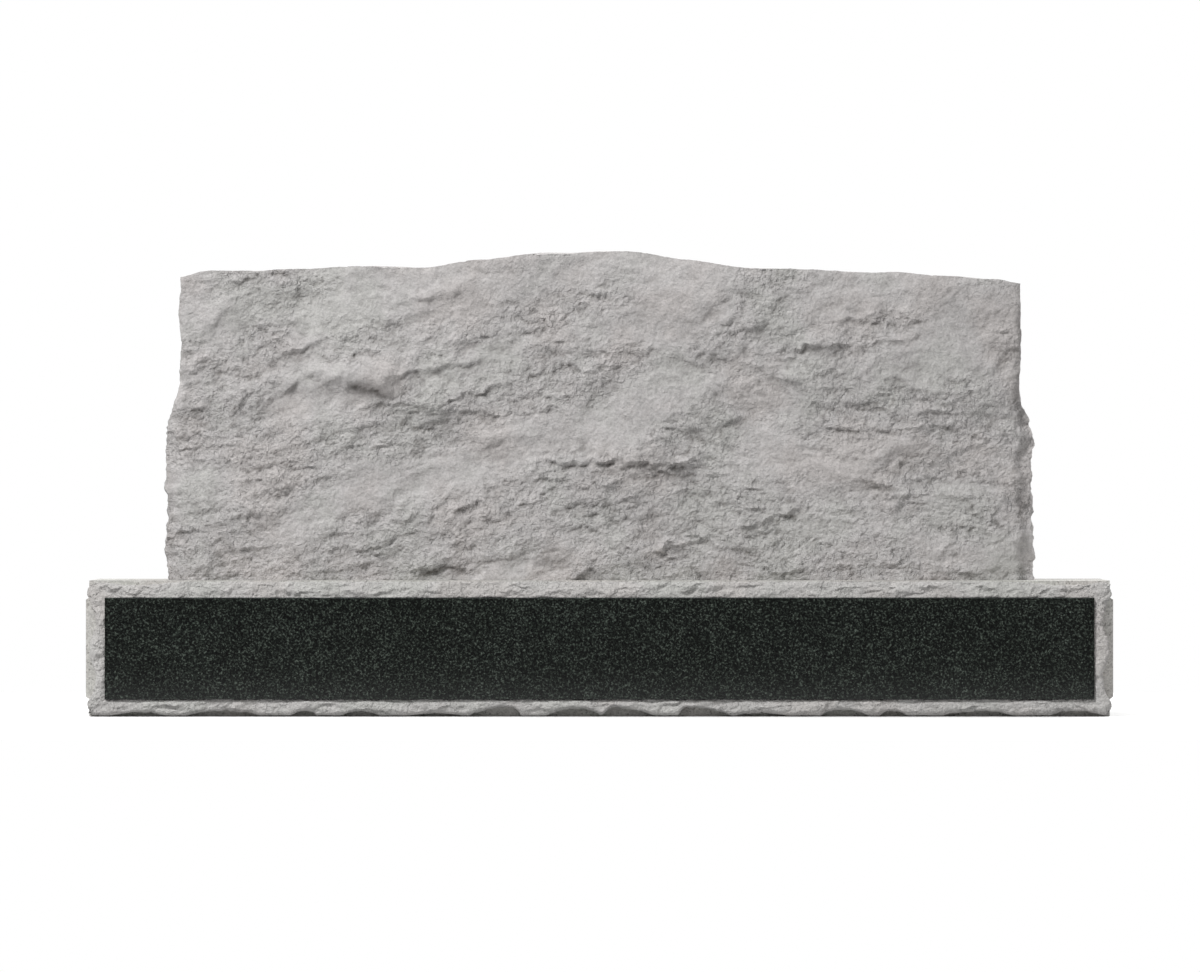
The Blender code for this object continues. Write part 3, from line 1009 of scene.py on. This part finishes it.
@dataclass
class Base:
    """The low stone: sawn body, pitched back, and pitched margin round the panel's pocket, in metres."""

    width: float = 1.524
    depth: float = 0.356
    height: float = 0.201
    pitch_depth: float = 0.020
    lip_rake: float = 0.0028
    lip_undercut: float = 0.002
    swell: float = 0.0024
    swell_place: float = 0.28
    panel_reveal: float = 0.0008
    lower_lip_inset: float = 0.0010
    corner_inset: float = 0.0025
    corner_round: float = 0.0030
    corner_round_reach: float = 0.0080
    end_lip_inset: float = 0.0100
    end_lip_wave: float = 0.0050
    scallop_pitch: float = 0.095
    scallop_place: float = 0.050
    upper_lip_inset: float = 0.0010
    upper_dip_depth: float = 0.0050
    upper_dip_place: float = 0.072
    upper_dip_reach: float = 0.045
    back_bulge: float = 0.014
    back_slope: float = 0.045
    back_wave_length: float = 0.080
    back_wave: float = 0.2
    back_rough: float = 0.6
    back_border: float = 0.012
    back_room: float = 0.001
    knocked_band: float = 0.0255
    knocked_depth: float = 0.0050
    knocked_step: float = 0.0030
    knocked_rough: float = 0.8
    ends_apart: float = 7.0
    corner_power: int = 60
    side_margin: float = 0.0295
    edge_margin: float = 0.0255
    lip_chip: float = 0.004
    lip_shift: float = 9.0
    underside_rough: float = 0.35
    underside_shift: float = 4.0
    margin_rough: float = 0.9
    rake_power: float = 5.0
    low_rake_power: float = 4.0
    panel_thickness: float = 0.020
    panel_stand: float = 0.005
    panel_joint: float = 0.0006
    stone_gap: float = 0.0003
    arches: tuple[tuple[float, float, float, float], ...] = (
        (-0.9550, -0.8426, -0.9000, 0.0050), (-0.8095, -0.6560, -0.7473, 0.0075),
        (-0.6055, -0.5510, -0.5783, 0.0060), (-0.5044, -0.4266, -0.4694, 0.0070),
        (-0.3780, -0.2565, -0.3178, 0.0040), (-0.2565, -0.1526, -0.1778, 0.0135),
        (-0.1059, 0.0049, -0.0437, 0.0112), (0.0049, 0.1098, 0.0301, 0.0120),
        (0.1526, 0.2585, 0.1759, 0.0130), (0.2585, 0.3741, 0.3178, 0.0045),
        (0.4286, 0.5258, 0.4772, 0.0095), (0.5452, 0.6035, 0.5705, 0.0075),
        (0.6618, 0.8134, 0.7396, 0.0060), (0.8717, 0.9850, 0.9436, 0.0068),
    )
    margin_waves: tuple[Wave, ...] = (Wave(0.070, 0.016, 0.0021), Wave(0.032, 0.010, 0.0012))
    columns: int = 496
    rows: int = 64
    crease: float = 35.0
    margin_rows: int = 20
    lip_rows: int = 5
    deep_rows: int = 40

    def lip_inset(self, x: Array, z: Array) -> Array:
        """How far the margin's wavy lip stays inside the straight outline.

        The lower lip is broken out in arches between lobes that reach the ground, the ends have even
        scallops, the upper lip dips near its ends, and the corners are blunt.

        Args:
            x: places along the straight outline.
            z: their heights from its middle.

        Returns:
            The inset at each place.
        """
        share = x / (self.width / 2)
        lower = np.full_like(x, self.lower_lip_inset)
        for start, end, peak, rise in self.arches:
            from_peak = np.where(share < peak, (peak - share) / (peak - start), (share - peak) / (end - peak))
            lower = np.maximum(lower, rise * (1 - from_peak ** 2))
        scallops = np.cos((z + self.height / 2 - self.scallop_place) * math.tau / self.scallop_pitch)
        near_corner = ease((np.abs(z) - self.height / 2 + self.knocked_band) / self.corner_round_reach)
        ends = self.end_lip_inset + self.end_lip_wave * scallops
        ends = ends + (self.corner_inset - ends) * near_corner
        from_dip = self.width / 2 - np.abs(x) - self.upper_dip_place
        upper = self.upper_lip_inset + self.upper_dip_depth * np.exp(-(from_dip / self.upper_dip_reach) ** 2)
        level = z / (self.height / 2)
        inset = np.where(level < -0.999, lower, np.where(level > 0.999, upper, ends))
        from_corner = self.width / 2 - np.abs(x) + self.height / 2 - np.abs(z)
        blunt = self.corner_round * np.exp(-(from_corner / self.corner_round_reach) ** 2)
        return np.maximum(inset + blunt, self.stone_gap * 2)

    def margin_swell(self, x: Array, z: Array, lip: Array) -> Array:
        """How far the pitched margin lies behind the panel's seat at each place.

        A share runs from 0 at the seat to 1 at the lip, by the fourth root of the sum of the fourth
        powers of its two parts, so that no mitre shows at the corners. The stone rakes back near the
        lip. The lower it is, the more it swells forwards from the seat and the later it rakes back.

        Args:
            x: places along the front.
            z: their heights from its middle.
            lip: the lip's inset there.

        Returns:
            The depths.
        """
        seat_x, seat_z = self.width / 2 - self.side_margin, self.height / 2 - self.edge_margin
        along = np.clip((np.abs(x) - seat_x) / (self.side_margin - lip), 0, None)
        up = np.clip((np.abs(z) - seat_z) / (self.edge_margin - lip), 0, None)
        share = np.clip((along ** 4 + up ** 4) ** 0.25, 0, 1.1)
        low = ease(0.5 - z / self.height)
        swell = self.swell * low
        drop = (self.lip_rake + swell) * share ** (self.rake_power + self.low_rake_power * low)
        return drop - swell * ease(share / self.swell_place)

    def outline(self) -> tuple[Array, Array]:
        """The straight outline of the front, anticlockwise from the lower left.

        Returns:
            Shares of half the width and of half the height.
        """
        along = np.linspace(-1, 1, self.columns + 1)
        up = np.linspace(-1, 1, self.rows + 1)
        share_x = np.concatenate([along[:-1], np.ones(self.rows), along[:0:-1], -np.ones(self.rows)])
        share_z = np.concatenate([-np.ones(self.columns), up[:-1], np.ones(self.columns), up[:0:-1]])
        return share_x, share_z

    def knocked(self, share_z: Array) -> Array:
        """How far the sawn ends are struck off at a height: in the bands at their top and bottom."""
        from_edge = self.height / 2 * (1 - np.abs(share_z)) - self.knocked_band
        return self.knocked_depth * (1 - ease(from_edge / self.knocked_step))

    def build(self, rock: bpy.types.Material, sawn: bpy.types.Material) -> bpy.types.Object:
        """The base as one closed mesh.

        Rings of points run round the front, from the pocket's floor out over the margin and its lip
        to the sawn arris. The top and underside are flat faces, and the ends and the back are grids.

        Args:
            rock: the finish of the pitched faces.
            sawn: the finish of the sawn faces.

        Returns:
            The piece.
        """
        draft = MeshDraft()
        half_width, half_height = self.width / 2, self.height / 2
        front = -self.depth / 2
        margin = front + self.panel_stand
        arris = margin + self.pitch_depth
        back_arris = self.depth / 2 - self.back_bulge
        share_x, share_z = self.outline()
        plain_x, plain_z = share_x * half_width, share_z * half_height
        inset = self.lip_inset(plain_x, plain_z)
        chips = np.abs(RockFace(Pattern.LIP).fine_stand(plain_x + self.lip_shift, plain_z))
        lip = inset + np.minimum(chips, self.lip_chip) * np.minimum(1, inset / self.lip_chip)

        def ring(inset_x: Array, inset_z: Array, y: Array) -> Array:
            """Adds points round the front, inside its outline.

            Args:
                inset_x: how far inside the ends.
                inset_z: how far inside the top and the underside.
                y: their depths.

            Returns:
                The points' numbers.
            """
            x = share_x * (half_width - inset_x)
            z = share_z * (half_height - inset_z) + half_height
            return draft.add_points(x, y, z)

        seat_x = self.side_margin - self.panel_joint
        seat_z = self.edge_margin - self.panel_joint
        floor = ring(seat_x, seat_z, front + self.panel_thickness + self.stone_gap)
        rings = [floor]
        broken = RockFace(Pattern.MARGIN)
        for share in np.sin(np.linspace(0, math.pi / 2, self.margin_rows + 1)):
            inset_x = seat_x + (lip - seat_x) * share
            inset_z = seat_z + (lip - seat_z) * share
            x, z = share_x * (half_width - inset_x), share_z * (half_height - inset_z)
            fine_x, fine_z = broken.jagged(x, z)
            relief = self.margin_rough * broken.fine_stand(x, z)
            relief += broken.waves(fine_x, fine_z, self.margin_waves, broken.fine_lean, 4)
            relief += MARGIN_LEDGES.stand(fine_x, fine_z + half_height, half_width, self.height)
            y = margin + self.margin_swell(x, z, lip) - relief * math.sin(math.pi * share) ** 0.5
            rings.append(ring(inset_x, inset_z, np.maximum(y, front + self.panel_reveal)))
        for share in np.linspace(0, 1, self.lip_rows + 1)[1:]:
            under = lip + self.lip_undercut * math.sin(math.pi / 2 * share)
            wander = RockFace(Pattern.LIP_UNDERSIDE).fine_stand(
                plain_x + self.underside_shift, plain_z + share * self.pitch_depth)
            wander = self.underside_rough * (1 - share) * np.abs(wander)
            under = np.maximum(under + wander, self.stone_gap)
            start = margin + self.lip_rake
            rings.append(ring(under, under, start + (arris - start) * share))
        outer_x = self.knocked_depth * np.abs(share_x) ** self.corner_power
        outer_x = np.where(np.abs(share_x) > 0.9999, self.knocked(share_z), outer_x)
        edge = ring(outer_x, np.zeros_like(outer_x), arris)
        for inner, outer in zip(rings, rings[1:] + [edge]):
            pair = np.stack([outer, inner])
            surface = Surface.SAWN if outer is edge else Surface.ROCK
            draft.add_faces(quads(np.concatenate([pair, pair[:, :1]], axis=1)), surface)
        draft.add_faces(floor[None], Surface.SAWN)
        self.add_body(draft, edge, arris, back_arris)
        return draft.piece("base_pitched_and_sawn", [rock, sawn], self.crease)

    def add_body(self, draft: MeshDraft, edge: Array, arris: float, back_arris: float) -> None:
        """Adds the ends, the pitched back, the top and the underside behind the front arris.

        Args:
            draft: the mesh being gathered.
            edge: point numbers round the front arris.
            arris: depth of the front arris.
            back_arris: depth of the back arris.
        """
        half_width, half_height = self.width / 2, self.height / 2
        lower = edge[:self.columns + 1]
        right = edge[self.columns:self.columns + self.rows + 1]
        upper = edge[self.columns + self.rows:2 * self.columns + self.rows + 1][::-1]
        left = np.append(edge[2 * self.columns + self.rows:], edge[0])[::-1]
        up = np.linspace(-1, 1, self.rows + 1)
        along = np.linspace(-1, 1, self.columns + 1)[::2]
        along_grid, up_grid = np.meshgrid(along, up)
        x, z = along_grid * half_width, up_grid * half_height
        x = np.sign(x) * (np.abs(x) - self.knocked(up_grid) * np.abs(along_grid) ** self.corner_power)
        to_edge = np.minimum(half_height - np.abs(z), half_width - np.abs(x))
        swell = ripple(x / self.back_wave_length, z / self.back_wave_length, Pattern.BASE_BACK_SWELL)
        swell = np.minimum(1, 1 + self.back_wave * (swell - 1))
        bulge = self.back_bulge * swell * ease(to_edge / self.back_slope)
        fine = RockFace(Pattern.BASE_BACK).fine_stand(x, z)
        fine = self.back_rough * fine * ease(to_edge / self.back_border)
        y = np.minimum(back_arris + bulge + fine, self.depth / 2 - self.back_room)
        back = draft.add_points(x, y, z + half_height)
        draft.add_faces(quads(back)[:, ::-1])
        ends = []
        for side, first, last in ((-1, left, back[:, 0]), (1, right, back[:, -1])):
            deep = np.linspace(arris, back_arris, self.deep_rows + 1)[1:-1]
            deep_grid, up_grid = np.meshgrid(deep, up, indexing="ij")
            struck = self.knocked(up_grid)
            rough = RockFace(Pattern.BASE_ENDS).fine_stand(
                deep_grid + self.ends_apart * side, up_grid * half_height)
            rough = self.knocked_rough * np.abs(rough) * struck / self.knocked_depth
            x = side * (half_width - struck - rough)
            grid = draft.add_points(x, deep_grid, up_grid * half_height + half_height)
            grid = np.concatenate([first[None], grid, last[None]])
            middle = np.abs(up[:-1] + up[1:]) / 2 * half_height
            struck_rows = middle > half_height - self.knocked_band - self.knocked_step
            faces = quads(grid) if side < 0 else quads(grid)[:, ::-1]
            rocky = np.tile(struck_rows, self.deep_rows)
            draft.add_faces(faces[rocky])
            draft.add_faces(faces[~rocky], Surface.SAWN)
            ends.append(grid)
        for row, level, flip in ((0, lower, True), (-1, upper, False)):
            loop = np.concatenate([level, ends[1][1:, row], back[row][::-1][1:], ends[0][1:-1, row][::-1]])
            draft.add_faces((loop[::-1] if flip else loop)[None], Surface.SAWN)


@dataclass
class Studio:
    """Plain white surroundings, soft light from above and a long lens, straight on."""

    picture_width: float = 1.7772
    eye_height: float = 0.3413
    eye_offset: float = 0.0007
    lens: float = 300.0
    sensor: float = 36.0
    key_strength: float = 2.54
    softbox_size: float = 1.70
    softbox_distance: float = 7.0
    key_from: tuple[float, float, float] = (-0.40, -0.48, 0.78)
    dome_low: float = 0.13
    dome_high: float = 0.68
    dome_reach: float = 0.5
    back_strength: float = 1.9
    back_from: tuple[float, float, float] = (0.40, 0.50, 0.77)
    floor_size: float = 3.0
    floor_drop: float = 0.0005

    def camera(self, subject_front: float) -> None:
        """Sets the camera so that the panel's plane fills the picture's width as in the photograph.

        Args:
            subject_front: the panel's face, along Y.
        """
        data = bpy.data.cameras.new("camera")
        data.lens = self.lens
        data.sensor_width = self.sensor
        data.clip_end = 200.0
        distance = self.lens * self.picture_width / self.sensor
        eye = bpy.data.objects.new("camera", data)
        eye.location = (self.eye_offset, subject_front - distance, self.eye_height)
        eye.rotation_euler = (math.pi / 2, 0, 0)
        bpy.context.scene.collection.objects.link(eye)
        bpy.context.scene.camera = eye

    def surroundings(self) -> None:
        """A white backdrop for the eye, and for the light a dome that is brighter above."""
        world = bpy.data.worlds.new("studio")
        world.use_nodes = True
        tree = world.node_tree
        tree.nodes.clear()
        place = add_node(tree, "TexCoord").outputs["Generated"]
        height = add_node(tree, "SeparateXYZ", links={0: place}).outputs["Z"]
        level = add_node(
            tree, "MapRange",
            {"From Min": 0.0, "From Max": self.dome_reach, "To Min": self.dome_low, "To Max": self.dome_high},
            {"Value": height})
        dome = add_node(tree, "Background", {"Color": (1, 1, 1, 1)}, {"Strength": level.outputs["Result"]})
        white = add_node(tree, "Background", {"Color": (1, 1, 1, 1), "Strength": 1.0})
        mixed = seen_as(tree, dome.outputs["Background"], white.outputs["Background"])
        add_node(tree, "OutputWorld", links={"Surface": mixed})
        bpy.context.scene.world = world
        bpy.context.scene.view_settings.view_transform = "Standard"

    def lights(self) -> None:
        """A round softbox above, in front and to the left of the marker, and a weaker one behind it.

        A softbox's power is its strength on the stone, in watts a square metre, times pi times the
        square of its distance.
        """
        for name, strength, source in (
                ("key", self.key_strength, self.key_from), ("back", self.back_strength, self.back_from)):
            data = bpy.data.lights.new(name, "AREA")
            data.shape = "DISK"
            data.size = self.softbox_size
            data.energy = strength * math.pi * self.softbox_distance ** 2
            lamp = bpy.data.objects.new(name, data)
            lamp.location = Vector(source).normalized() * self.softbox_distance
            lamp.rotation_euler = Vector(source).to_track_quat("Z", "Y").to_euler()
            bpy.context.scene.collection.objects.link(lamp)

    def floor(self) -> None:
        """A wide pale floor under the marker, which throws little light back up at the stone."""
        half = self.floor_size / 2
        draft = MeshDraft()
        x, y = np.meshgrid([-half, half], [-half, half])
        draft.add_faces(quads(draft.add_points(x, y, np.full_like(x, -self.floor_drop))))
        material, tree, shader = new_material("Floor_paint_white_matt", Roughness=0.9)
        shader.inputs["Base Color"].default_value = linear("fafafa")
        dim = add_node(tree, "BsdfDiffuse", {"Color": linear("c4c4c4")})
        mixed = seen_as(tree, dim.outputs["BSDF"], shader.outputs["BSDF"])
        tree.links.new(mixed, tree.nodes["Material Output"].inputs["Surface"])
        draft.piece("floor", [material], 30)


def finish_node(name: str, material: bpy.types.Material) -> None:
    """Gives a piece of the frame its finish.

    Args:
        name: the frame's node.
        material: its finish.
    """
    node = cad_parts[name]
    node.data.materials.clear()
    node.data.materials.append(material)


def main() -> None:
    """Builds the studio and the three stones."""
    logging.basicConfig(level=logging.INFO, format="%(name)s: %(message)s")
    studio = Studio()
    studio.camera(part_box("name_panel")[0][1])
    studio.surroundings()
    studio.lights()
    studio.floor()
    tablet = Tablet().build(ROCK_FACED.build())
    base = Base().build(PITCHED.build(), SAWN.build())
    for piece, node, slot in (
            (tablet, "tablet", "rock_faced_grey_granite"), (base, "base", "sawn_and_pitched_grey_granite")):
        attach(piece, "root")
        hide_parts(node)
        log.info("%s: %d faces, stands for %s", piece.name, len(piece.data.polygons), node)
    finish_node("name_panel", BlackGranite().build())
    log.info("name_panel: polished black granite on the frame's own slab")


if __name__ == "__main__":
    main()
